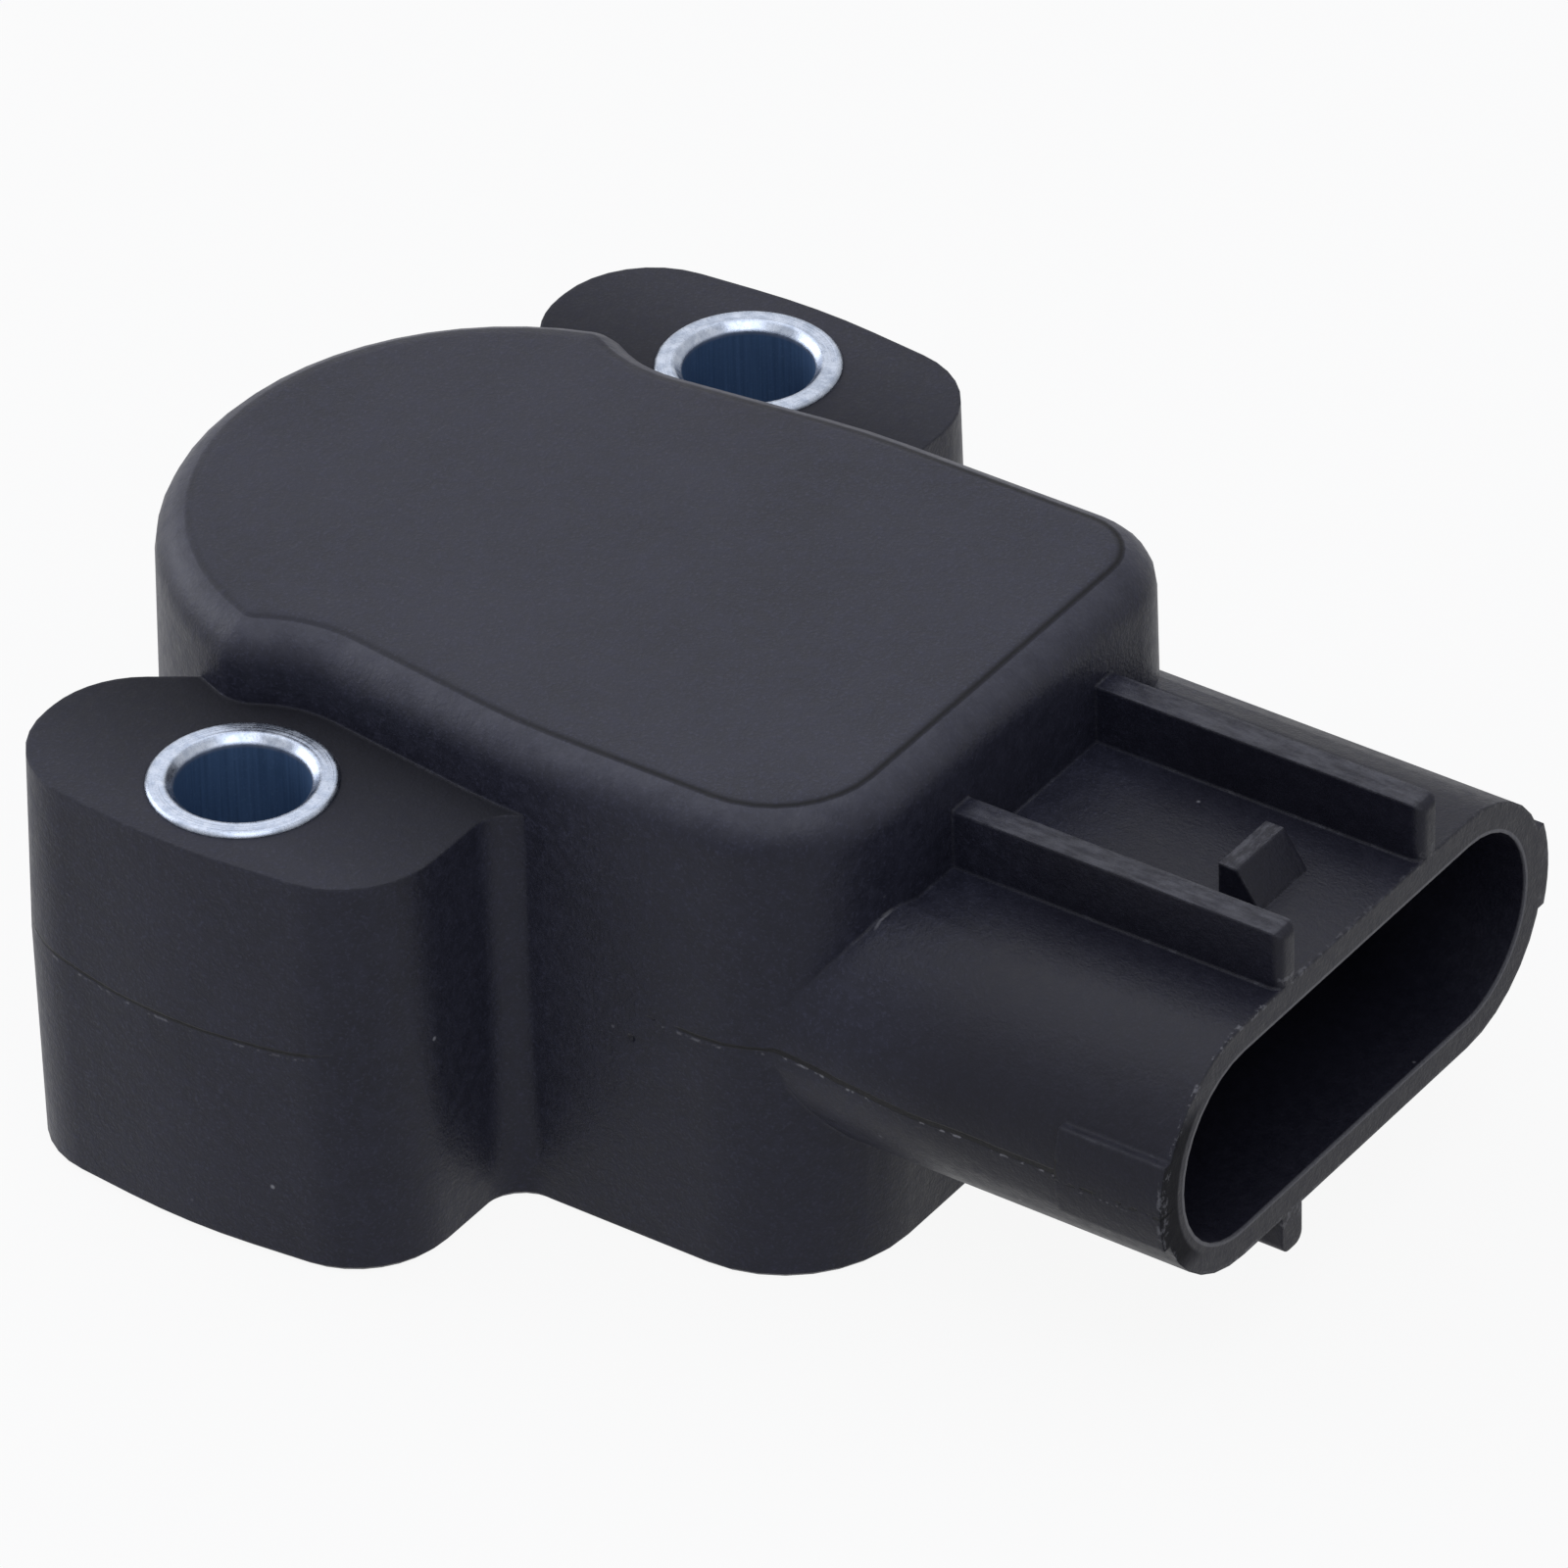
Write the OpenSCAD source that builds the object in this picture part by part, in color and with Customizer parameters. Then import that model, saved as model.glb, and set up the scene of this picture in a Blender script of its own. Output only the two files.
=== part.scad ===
// Contact-type throttle position sensor for an engine's throttle body.
// One moulded housing carries two steel compression limiters, an oval three-way
// connector shroud with latch, and a sprung rotor that is driven from the mounting face.
// Origin: rotor axis on the mounting face. +X runs to the connector mouth, +Z is up.

/* [Mounting ears] */
// Distance between the two mounting hole centres
hole_spacing = 36.2; // [35.6:0.1:39]
// Outer diameter of each steel compression limiter
limiter_od = 8; // [7.2:0.1:8.6]
// Bore of each compression limiter
limiter_bore = 5.7; // [5.2:0.1:6.2]
// Entry chamfer at both ends of a limiter bore
limiter_chamfer = 0.32; // [0.1:0.01:0.5]
// Height that a limiter stands above its ear
limiter_proud = 0.2; // [0.1:0.05:0.4]
// Height of the ears above the mounting face
ear_h = 19.4; // [17.5:0.1:20]
// Half width of an ear along X
ear_half_w = 9.9; // [9.4:0.1:10.6]
// Distance from a hole centre to the ear's outermost edge
ear_reach = 5.3; // [5:0.1:7]
// Corner radius of the ear outline
ear_corner_r = 4.6; // [3:0.1:4.8]
// Crown radius of the ear's outer edge
ear_edge_r = 30; // [24:1:45]
// Fillet between the ear's front flank and the body
ear_root_r = 1.5; // [0.8:0.1:2]
// Width of the core pockets in the ear undersides
core_w = 2.2; // [1.6:0.1:2.4]
// Roof thickness over the core pockets
core_roof = 4; // [2.5:0.1:8]

/* [Body] */
// Half width of the body at its straight sides
body_half_w = 14; // [13:0.1:16]
// Extra radius of the rounded rear end over the half width
rear_bulge = 0.45; // [0.2:0.05:0.8]
// Distance from the rotor axis to the front face
body_front = 25.6; // [24.5:0.1:28]
// Corner radius between the near side (-Y) and the front face
corner_near_r = 6.2; // [4:0.1:6.5]
// Corner radius between the far side (+Y) and the front face
corner_far_r = 4.3; // [3.5:0.1:6]
// Total height of the body
body_h = 22.9; // [22:0.1:25]
// Radius of the rounded top edge
crown_r = 1.9; // [1:0.1:2]
// Washer clearance radius of the relief round each limiter
relief_r = 5.3; // [4.8:0.1:6]
// Least depth of the relief in the body's side
relief_depth = 0.3; // [0.2:0.1:0.8]
// Distance along X from a limiter to where the relief's front flank meets the side
relief_run = 9.7; // [8:0.1:12]
// Convex radius of the bump behind each relief
bump_r = 2.3; // [2:0.1:3]
// Height of the mould parting line
parting_z = 10.75; // [9:0.05:12]
// Draft of the outer walls, as width lost between the parting line and either end
draft = 0.17; // [0.05:0.01:0.3]
// Chamfer round the bottom edge
foot_chamfer = 0.3; // [0.1:0.05:0.4]
// Thickness of the side walls round the chamber
wall = 2.45; // [2.2:0.05:2.8]
// Thickness of the front wall
front_wall = 2.8; // [2.4:0.1:3.2]
// Thickness of the roof over the chamber
roof = 2.3; // [2:0.1:2.8]

/* [Connector shroud] */
// Distance from the rotor axis to the connector mouth
mouth_x = 41.3; // [38:0.1:46]
// Sideways offset of the shroud centre
shroud_y = 1.52; // [1:0.02:2]
// Height of the shroud centre above the mounting face
shroud_z = 11.02; // [9.5:0.02:11.4]
// Half distance between the shroud's end arc centres
shroud_l = 8.38; // [8.2:0.02:9.2]
// Outer radius of the shroud's ends
shroud_r = 5.76; // [5.6:0.02:6.4]
// Wall of the shroud
shroud_wall = 1.34; // [1.2:0.02:1.6]
// Flare of the shroud's upper near corner where it leaves the body
root_flare = 0.85; // [0.2:0.05:1.2]
// Length over which that flare runs out along the shroud
flare_len = 5; // [3:0.5:9]
// Depth of the socket behind the mouth
socket_depth = 13.6; // [11:0.1:14]
// Distance between the two top ribs, centre to centre
rib_pitch = 10.5; // [9:0.1:12]
// Thickness of the ribs
rib_t = 1.25; // [1:0.05:1.6]
// Height of the top ribs above the shroud
rib_h = 2.75; // [2:0.05:3.2]
// Rounding of the ribs' front ends
rib_round = 0.5; // [0.2:0.05:0.55]
// Thickness of the keel under the shroud
keel_t = 1.45; // [1.2:0.05:1.8]
// Height of the keel
keel_h = 1.9; // [1.2:0.1:2.6]
// Length of the keel back from the mouth
keel_len = 6; // [3:0.1:10]
// Width of the latch wedge
latch_w = 3.5; // [2:0.1:4]
// Height of the latch wedge
latch_h = 1.7; // [1:0.1:2.2]
// Length of the latch wedge
latch_len = 1.95; // [1.8:0.05:4]
// Length of the latch wedge's flat top
latch_flat = 0.85; // [0.5:0.05:1.2]
// Distance from the latch wedge's toe to the mouth
latch_back = 3.67; // [2:0.01:6]
// Length of the key bands at the shroud's ends
key_len = 5.1; // [3:0.1:8]
// Height of the key bands
key_w = 4.1; // [3:0.1:6]
// Height of the key bands' middle above the shroud's centre
key_rise = 0.1; // [0:0.05:0.6]
// Projection of the key bands
key_t = 0.4; // [0.1:0.05:0.5]

/* [Terminals] */
// Distance between neighbouring terminals
pin_pitch = 6; // [5.9:0.05:6.6]
// Width of a terminal blade
pin_w = 1.5; // [1:0.05:1.6]
// Thickness of a terminal blade
pin_t = 0.8; // [0.5:0.05:0.9]
// Distance from the blade tips back to the mouth
pin_recess = 4.8; // [4:0.1:7]
// Length of the taper at a blade's tip
pin_tip = 1.2; // [0.6:0.1:2]

/* [Rotor] */
// Diameter of the round drive bore
drive_d = 8.1; // [7.6:0.1:8.5]
// Depth of the round drive bore
drive_depth = 8; // [5:0.1:9]
// Width of the drive slot beyond the bore
drive_slot_w = 2.4; // [1.6:0.1:3]
// Depth of the drive slot beyond the bore
drive_slot_depth = 3.6; // [2:0.1:4.5]
// Diameter of the rotor's lower journal
journal_d = 13; // [12.4:0.1:13.4]
// Running clearance of the rotor's bearings, on the radius
bearing_gap = 0.05; // [0.03:0.01:0.08]
// Recess of the rotor's lower end above the mounting face
rotor_recess = 0.6; // [0.3:0.1:1]
// Ring between the rotor's flange and the chamber wall, where the lug and the stops meet
lug_ring = 2.15; // [1.9:0.05:2.4]
// Thickness of the rotor's flange
flange_t = 1.8; // [1.4:0.1:2.2]
// Thickness of the table that carries the wiper
table_t = 1.4; // [1:0.1:1.8]
// Height of the element's tracks above the table's underside
table_drop = 3.2; // [2.8:0.1:3.6]
// Diameter of the rotor's upper hub
hub_d = 9.2; // [9:0.1:9.6]
// Diameter of the top spigot
spigot_d = 5; // [4:0.1:5.4]
// Electrical and mechanical travel of the rotor
travel = 100; // [80:1:110]

/* [Inner parts] */
// Thickness of the base cover
cover_t = 2.8; // [2.6:0.1:3.2]
// Width of the ledge that carries the base cover
cover_ledge = 1; // [0.7:0.1:1.2]
// Wall of the cover's bearing sleeve
sleeve_wall = 1.7; // [1.4:0.1:2]
// Height of the bearing sleeve above the cover
sleeve_h = 4.1; // [3.5:0.1:4.5]
// Gap round the base cover
cover_gap = 0.1; // [0.05:0.01:0.2]
// Section diameter of the face seal
seal_d = 1.6; // [1.4:0.1:1.8]
// Thickness of the thrust washer
washer_t = 0.3; // [0.2:0.05:0.5]
// Wire diameter of the return spring
wire_d = 0.9; // [0.6:0.05:1]
// Gap between the turns of the return spring
coil_gap = 0.15; // [0.1:0.05:0.4]
// Clearance between the spring and the hub
spring_gap = 1.5; // [1.2:0.1:1.8]
// Thickness of the resistance element's board
board_t = 1; // [0.8:0.1:1.2]
// Gap between the board's edge and the chamber wall
board_gap = 0.3; // [0.2:0.05:0.5]
// Width of the two printed tracks
track_w = 1.6; // [1.2:0.05:1.9]
// Thickness of the printed tracks
track_t = 0.1; // [0.06:0.02:0.14]
// Length of the wiper's fingers
finger_len = 4.4; // [3.6:0.1:5]
// Width of the wiper's foot
foot_w = 2.2; // [1.8:0.1:2.6]
// Sheet thickness of the wiper
wiper_t = 0.25; // [0.2:0.05:0.3]

/* [Hidden] */
$fn = 96;
eps = 0.01;
big = 60;
hole_y = hole_spacing / 2;

// Outline helpers: a path is a list of corners [x, y, radius, steps]
function dir(a) = [cos(a), sin(a)];
function unit(v) = v / norm(v);
function xy(q) = [q[0], q[1]];
function left(v) = [-v[1], v[0]];
function pick(path, k) = path[(k + len(path)) % len(path)];
// Meeting point of a line through p at angle a and a line through q at angle b
function meet(p, a, q, b) =
  let (d = dir(a), e = dir(b))
  p + d * ((q[0] - p[0]) * e[1] - (q[1] - p[1]) * e[0]) / (d[0] * e[1] - d[1] * e[0]);
function turn(path, k) =
  cross(unit(xy(pick(path, k)) - xy(pick(path, k - 1))), unit(xy(pick(path, k + 1)) - xy(pick(path, k))));
// Same path with every edge moved inward by d; convex radii shrink and concave radii grow
function inset(path, d) = [for (k = [0 : len(path) - 1])
  let (q = path[k],
       n1 = left(unit(xy(q) - xy(pick(path, k - 1)))),
       n2 = left(unit(xy(pick(path, k + 1)) - xy(q))),
       s = xy(q) + d * (n1 + n2) / (1 + n1 * n2))
  [s[0], s[1], q[3] == 0 ? 0 : q[2] + (turn(path, k) > 0 ? -d : d), q[3]]];
// Points of one rounded corner
function corner(p, q, s) = q[3] == 0 ? [xy(q)] :
  let (a = unit(xy(p) - xy(q)), b = unit(xy(s) - xy(q)), half = acos(a * b) / 2,
       c = xy(q) + unit(a + b) * q[2] / sin(half),
       v = xy(q) + a * q[2] / tan(half) - c,
       sweep = (180 - 2 * half) * (cross(-a, b) > 0 ? 1 : -1), a0 = atan2(v[1], v[0]))
  [for (i = [0 : q[3]]) c + q[2] * dir(a0 + sweep * i / q[3])];
function all_corners(path) = [for (k = [0 : len(path) - 1])
  each corner(pick(path, k - 1), path[k], pick(path, k + 1))];
// Closed outline; where two arcs meet at one point it is kept once
function outline(path) =
  let (pts = all_corners(path))
  [for (k = [0 : len(pts) - 1]) if (norm(pts[k] - pick(pts, k - 1)) > 0.004) pts[k]];
function mirrored(path) = [for (k = [len(path) - 1 : -1 : 0])
  [path[k][0], -path[k][1], path[k][2], path[k][3]]];
function at_z(pts, z) = [for (q = pts) [q[0], q[1], z]];
function at_x(pts, x) = [for (q = pts) [x, q[0], q[1]]];
// Closed outline with two straight sides and two round ends, from y0 to y1 about height z;
// g swells the upper part of the end at y0
function stadium(y0, y1, z, r, n = 16, g = 0) = concat(
  [for (i = [0 : n]) [y1 - r, z] + r * dir(-90 + 180 * i / n)],
  [for (i = [0 : n]) let (a = 90 + 180 * i / n) [y0 + r, z] + (r + g * flare_share(a)) * dir(a)]);
// Share of the flare at an angle round the shroud's near end: full over its upper corner
function flare_share(a) = min(1, (a - 90) / 18) * max(0, min(1, (210 - a) / 60));

// Solid through a list of rings with the same number of points; c0 and c1 are the middles
// of the two end faces, from which every point of the end outline can be seen
module loft(rings, c0, c1) {
  n = len(rings[0]);
  m = len(rings);
  polyhedron(
    points = concat([for (r = rings) each r], [c0, c1]),
    faces = concat(
      [for (i = [0 : n - 1]) [m * n, i, (i + 1) % n]],
      [for (j = [0 : m - 2]) for (i = [0 : n - 1])
        [j * n + i, (j + 1) * n + i, (j + 1) * n + (i + 1) % n, j * n + (i + 1) % n]],
      [for (i = [0 : n - 1]) [m * n + 1, (m - 1) * n + (i + 1) % n, (m - 1) * n + i]]),
    convexity = 10);
}

// Body outline with a washer relief at each limiter: the relief is an arc about the hole, the
// bump behind it is tangent to the relief and to the rounded rear end
body_r = body_half_w + rear_bulge;
relief_a = max(relief_r, hole_y - body_half_w + relief_depth);
side_start = [relief_run, body_half_w];
to_hole = [0, hole_y] - side_start;
flank_a = atan2(to_hole[1], to_hole[0]) + asin(relief_a / norm(to_hole)) - 180;
bump_d = body_r - bump_r;
bump_y = (bump_d * bump_d - (relief_a + bump_r) * (relief_a + bump_r) + hole_y * hole_y) / (2 * hole_y);
bump_c = [-sqrt(bump_d * bump_d - bump_y * bump_y), bump_y];
rear_a = atan2(bump_c[1], bump_c[0]);
bump_a = atan2(bump_c[1] - hole_y, bump_c[0]);
bump_start = [0, hole_y] + relief_a * dir(bump_a);
relief_v = meet(side_start, flank_a, bump_start, bump_a + 90);
bump_v = meet(bump_start, bump_a + 90, body_r * dir(rear_a), rear_a - 90);
rear_half = (180 - rear_a) / 3;
function rear_path(r) = [for (k = [0 : 2])
  let (v = r / cos(rear_half) * dir(rear_a + rear_half * (2 * k + 1))) [v[0], v[1], r, 8]];
function side_path(r) = [[body_front, body_half_w, r, 8],
  [side_start[0], side_start[1], 30, 2],
  [relief_v[0], relief_v[1], relief_a, 6],
  [bump_v[0], bump_v[1], bump_r, 6]];
body_path = concat(side_path(corner_far_r), rear_path(body_r), mirrored(side_path(corner_near_r)));

// Ear outline: rounded block that runs into the body, open to the inside
ear_y = hole_y + ear_reach;
ear_side_y = ear_y - 0.85;
ear_merge = 0.03;
// The rear flank turns in round the same corner radius and runs into the rounded body
ear_in_a = -33;
ear_in_c = [-ear_half_w + ear_corner_r, hole_y - 0.15];
ear_in_p = ear_in_c + ear_corner_r * dir(ear_in_a - 90);
ear_back_v = meet(ear_in_p, ear_in_a, [-ear_half_w, 0], 90);
ear_end_v = meet(ear_in_p, ear_in_a, [0, body_half_w - 4], 0);
ear_mid = [4, body_half_w - 1.5];
ear_path = [[ear_half_w + 3, body_half_w - ear_merge, 0, 0],
  [ear_half_w, body_half_w - ear_merge, ear_root_r, 6],
  [ear_half_w, ear_side_y, ear_corner_r, 8],
  [0, ear_y + 0.15, ear_edge_r, 4],
  [-ear_half_w, ear_side_y, ear_corner_r, 8],
  [ear_back_v[0], ear_back_v[1], ear_corner_r, 7],
  [ear_end_v[0], ear_end_v[1], 0, 0],
  [ear_half_w + 3, ear_end_v[1], 0, 0]];

// Chamber and cover outline
chamber_w = body_half_w - wall;
chamber_front = body_front - front_wall;
chamber_top = body_h - roof;
corner_gap = 0.4;
chamber_path = [[chamber_front, chamber_w, corner_far_r - wall + corner_gap, 6],
  [-chamber_w, chamber_w, chamber_w, 16],
  [-chamber_w, -chamber_w, chamber_w, 16],
  [chamber_front, -chamber_w, corner_near_r - wall + corner_gap, 6]];
cover_path = inset(chamber_path, -cover_ledge);

// Heights and radii of the inner stack
journal_r = journal_d / 2;
hub_r = hub_d / 2;
flange_r = chamber_w - lug_ring;
sleeve_r = journal_r + sleeve_wall;
sleeve_top = cover_t + sleeve_h;
washer_gap = 0.05;
stop_clear = 0.3;
flange_z = sleeve_top + washer_t + 2 * washer_gap;
board_z = chamber_top - board_t;
track_z = board_z - track_t;
boss_r = spigot_d / 2 + 1.6;
boss_z = board_z - board_t;
table_z = track_z - table_drop;
spring_r = hub_r + spring_gap + wire_d / 2;
spring_clear = 0.3;
spring_z = flange_z + flange_t + spring_clear + wire_d / 2;
spring_pitch = wire_d + coil_gap;
spring_turns = floor((table_z - spring_clear - wire_d / 2 - spring_z) / spring_pitch);
lug_a = 115;
lug_half = 9;
stop_gap = 1.2;
// The seal runs midway between the bearing bore and the cover's edge
seal_r = (journal_r + bearing_gap + chamber_w + cover_ledge - cover_gap) / 2;

// The two printed tracks are spaced evenly between the boss and the board's edge
board_r = chamber_w - board_gap;
track_space = (board_r - boss_r - 2 * track_w) / 3;
ring_in = boss_r + track_space;
ring_out = ring_in + track_w + track_space;
track_end = lug_a + travel + 34;

// Shroud and terminals
socket_r = shroud_r - shroud_wall;
socket_x = mouth_x - socket_depth;
shroud_y0 = shroud_y - shroud_l - shroud_r;
shroud_y1 = shroud_y + shroud_l + shroud_r;
shroud_top = shroud_z + shroud_r;
shroud_foot = shroud_z - shroud_r;
rib_y = shroud_y + 0.1;
root_back = 7;
root_full = 2.2;
pin_root_x = chamber_front - 2.6;

// Body with both drafts, the foot chamfer and the rounded top edge
module body_form() {
  top = 90;
  n = 5;
  loft(concat(
    [at_z(outline(inset(body_path, draft + foot_chamfer)), 0),
     at_z(outline(inset(body_path, draft)), foot_chamfer),
     at_z(outline(body_path), parting_z)],
    [for (i = [0 : n])
      let (t = top * i / n)
      at_z(outline(inset(body_path, draft + crown_r * (1 - cos(t)))), body_h - crown_r + crown_r * sin(t))]),
    [5, 0, 0], [5, 0, body_h]);
}
module ear_form() {
  loft([at_z(outline(inset(ear_path, draft + foot_chamfer)), 0),
    at_z(outline(inset(ear_path, draft)), foot_chamfer),
    at_z(outline(ear_path), parting_z),
    at_z(outline(inset(ear_path, draft)), ear_h)],
    [ear_mid[0], ear_mid[1], 0], [ear_mid[0], ear_mid[1], ear_h]);
}
// Shroud tube; its far end closes into the body's corner behind the front face, and its upper
// near corner is flared where it leaves the body
module shroud_form() {
  far_in = body_half_w - wall / 2;
  back = body_front - root_back;
  flared = stadium(shroud_y0, shroud_y1, shroud_z, shroud_r, g = root_flare);
  tube = stadium(shroud_y0, shroud_y1, shroud_z, shroud_r);
  loft([at_x(stadium(shroud_y0, far_in, shroud_z, shroud_r, g = root_flare), back),
    at_x(flared, body_front - root_full),
    at_x(flared, body_front),
    at_x(tube, body_front + flare_len),
    at_x(tube, mouth_x)],
    [back, shroud_y, shroud_z], [mouth_x, shroud_y, shroud_z]);
}
// Top rib, running from the front wall to the mouth, with its front end rounded
module shroud_rib(y) {
  x0 = body_front - front_wall / 2;
  t = rib_t / 2;
  z0 = shroud_top - shroud_wall / 2;
  z1 = shroud_top + rib_h;
  intersection() {
    translate([0, y, z0])
      linear_extrude(z1 - z0)
        polygon(outline([[x0, -t, 0, 0], [mouth_x, -t, rib_round, 4], [mouth_x, t, rib_round / 2, 3],
          [x0, t, 0, 0]]));
    translate([0, y + t, 0])
      rotate([90, 0, 0])
        linear_extrude(rib_t)
          polygon(outline([[x0, z0, 0, 0], [mouth_x, z0, 0, 0], [mouth_x, z1, rib_round, 4], [x0, z1, 0, 0]]));
  }
}
// Keel under the mouth, rounded along its lower edges
module keel() {
  y = rib_y - rib_pitch / 2 + 0.3;
  z1 = shroud_foot + shroud_wall / 2;
  z0 = shroud_foot - keel_h;
  translate([mouth_x - keel_len, 0, 0])
    rotate([90, 0, 90])
      linear_extrude(keel_len)
        polygon(outline([[y - keel_t / 2, z1, 0, 0], [y - keel_t / 2, z0, rib_round, 4],
          [y + keel_t / 2, z0, rib_round, 4], [y + keel_t / 2, z1, 0, 0]]));
}
module latch_wedge() {
  toe = mouth_x - latch_back;
  root = shroud_top - shroud_wall / 2;
  translate([0, rib_y + latch_w / 2, 0])
    rotate([90, 0, 0])
      linear_extrude(latch_w)
        polygon([[toe, root], [toe, shroud_top + 0.1], [toe - latch_len + latch_flat, shroud_top + latch_h],
          [toe - latch_len, shroud_top + latch_h], [toe - latch_len, root]]);
}
// Key bands round the two ends of the shroud, concentric with them
module key_bands() {
  z = shroud_z + key_rise - key_w / 2;
  for (s = [-1, 1])
    intersection() {
      translate([mouth_x - key_len, shroud_y + s * shroud_l, shroud_z])
        rotate([0, 90, 0])
          cylinder(h = key_len, r = shroud_r + key_t);
      translate([mouth_x - key_len - 1, s > 0 ? shroud_y1 - 2 * shroud_wall : shroud_y0 - 2 * key_t, z])
        cube([key_len + 2, 2 * shroud_wall + 2 * key_t, key_w]);
    }
}
module limiter_bores() {
  for (s = [-1, 1])
    translate([0, s * hole_y, -1])
      cylinder(h = ear_h + 2 + crown_r, d = limiter_od);
}
// Core pockets either side of each limiter, open at the mounting face
module core_pockets() {
  pocket_r0 = limiter_od / 2 + 1.7;
  for (s = [-1, 1])
    for (a = [0, 180])
      translate([0, s * hole_y, -1])
        rotate([0, 0, a - 28])
          rotate_extrude(angle = 56)
            translate([pocket_r0, 0])
              square([core_w, ear_h - core_roof + 1]);
}
module chamber_cut() {
  translate([0, 0, cover_t])
    linear_extrude(chamber_top - cover_t)
      polygon(outline(chamber_path));
  translate([0, 0, -1])
    linear_extrude(cover_t + 1)
      polygon(outline(cover_path));
}
// Stops for the rotor's lug, standing in from the chamber wall
module stops() {
  r0 = flange_r + stop_clear;
  for (a = [lug_a - lug_half - stop_gap - 8, lug_a + travel + lug_half + stop_gap])
    rotate([0, 0, a])
      rotate_extrude(angle = 8)
        translate([r0, flange_z])
          square([chamber_w + wall / 4 - r0, flange_t + 1]);
}
module socket_cut() {
  translate([socket_x, 0, 0])
    rotate([90, 0, 90])
      linear_extrude(socket_depth + 1)
        polygon(stadium(shroud_y0 + shroud_wall, shroud_y1 - shroud_wall, shroud_z, socket_r));
}
module housing() {
  color([0.13, 0.13, 0.15]) {
    difference() {
      union() {
        body_form();
        ear_form();
        mirror([0, 1, 0]) ear_form();
        shroud_form();
        for (s = [-1, 1])
          shroud_rib(rib_y + s * rib_pitch / 2);
        keel();
        latch_wedge();
        key_bands();
      }
      limiter_bores();
      core_pockets();
      chamber_cut();
      socket_cut();
      for (k = [-1 : 1])
        translate([pin_root_x, shroud_y + k * pin_pitch - pin_w / 2, shroud_z - pin_t / 2])
          cube([socket_x - pin_root_x + 1, pin_w, pin_t]);
    }
    stops();
    // Spigot bearing under the roof
    translate([0, 0, boss_z])
      difference() {
        cylinder(h = chamber_top - boss_z + 0.5, r = boss_r);
        translate([0, 0, -1])
          cylinder(h = chamber_top - boss_z + 1, d = spigot_d + 2 * bearing_gap);
      }
  }
}

// Compression limiters
module limiter() {
  r = limiter_bore / 2;
  h = ear_h + limiter_proud;
  c = limiter_chamfer;
  rotate_extrude()
    polygon([[r + c, 0], [limiter_od / 2 - 0.15, 0], [limiter_od / 2, 0.15],
      [limiter_od / 2, h - 0.12], [limiter_od / 2 - 0.12, h], [r + c, h], [r, h - c], [r, c]]);
}
module limiter_near() {
  color([0.82, 0.85, 0.88])
    translate([0, -hole_y, 0]) limiter();
}
module limiter_far() {
  color([0.82, 0.85, 0.88])
    translate([0, hole_y, 0]) limiter();
}

// Base cover with the rotor's lower bearing and the seal groove
module base_cover() {
  color([0.16, 0.16, 0.18])
    difference() {
      union() {
        linear_extrude(cover_t)
          polygon(outline(inset(cover_path, cover_gap)));
        cylinder(h = sleeve_top, r = sleeve_r);
      }
      translate([0, 0, -1])
        cylinder(h = sleeve_top + 2, d = journal_d + 2 * bearing_gap);
      rotate_extrude()
        translate([seal_r - seal_d / 2 - 0.1, -1])
          square([seal_d + 0.2, seal_d + 1.05]);
    }
}
module face_seal() {
  color([0.08, 0.08, 0.08])
    rotate_extrude()
      translate([seal_r, seal_d / 2 + 0.02])
        circle(d = seal_d);
}

// Rotor: journal, drive socket, flange with stop lug, hub, wiper table and spigot
module rotor() {
  color([0.62, 0.6, 0.55])
    difference() {
      union() {
        rotate_extrude()
          polygon([[0, rotor_recess], [journal_r - 0.3, rotor_recess], [journal_r, rotor_recess + 0.3],
            [journal_r, flange_z], [flange_r, flange_z], [flange_r, flange_z + flange_t],
            [hub_r, flange_z + flange_t], [hub_r, table_z + table_t], [spigot_d / 2, table_z + table_t],
            [spigot_d / 2, boss_z + 1.2], [spigot_d / 2 - 0.3, boss_z + 1.5], [0, boss_z + 1.5]]);
        rotate([0, 0, lug_a - lug_half])
          rotate_extrude(angle = 2 * lug_half)
            translate([flange_r - 0.5, flange_z])
              square([lug_ring, flange_t]);
        // Table that carries the wiper
        rotate([0, 0, lug_a - 36])
          translate([0, 0, table_z])
            rotate_extrude(angle = 72)
              translate([hub_r - 0.4, 0])
                square([ring_out + track_w - hub_r + 0.8, table_t]);
      }
      translate([0, 0, rotor_recess - 1])
        cylinder(h = drive_depth + 1, d = drive_d);
      translate([-(drive_d - 0.7) / 2, -drive_slot_w / 2, rotor_recess + drive_depth - 0.5])
        cube([drive_d - 0.7, drive_slot_w, drive_slot_depth + 0.5]);
    }
}
module thrust_washer() {
  color([0.7, 0.72, 0.74])
    translate([0, 0, sleeve_top + washer_gap])
      difference() {
        cylinder(h = washer_t, r = sleeve_r);
        translate([0, 0, -1])
          cylinder(h = washer_t + 2, r = journal_r + 0.25);
      }
}

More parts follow.
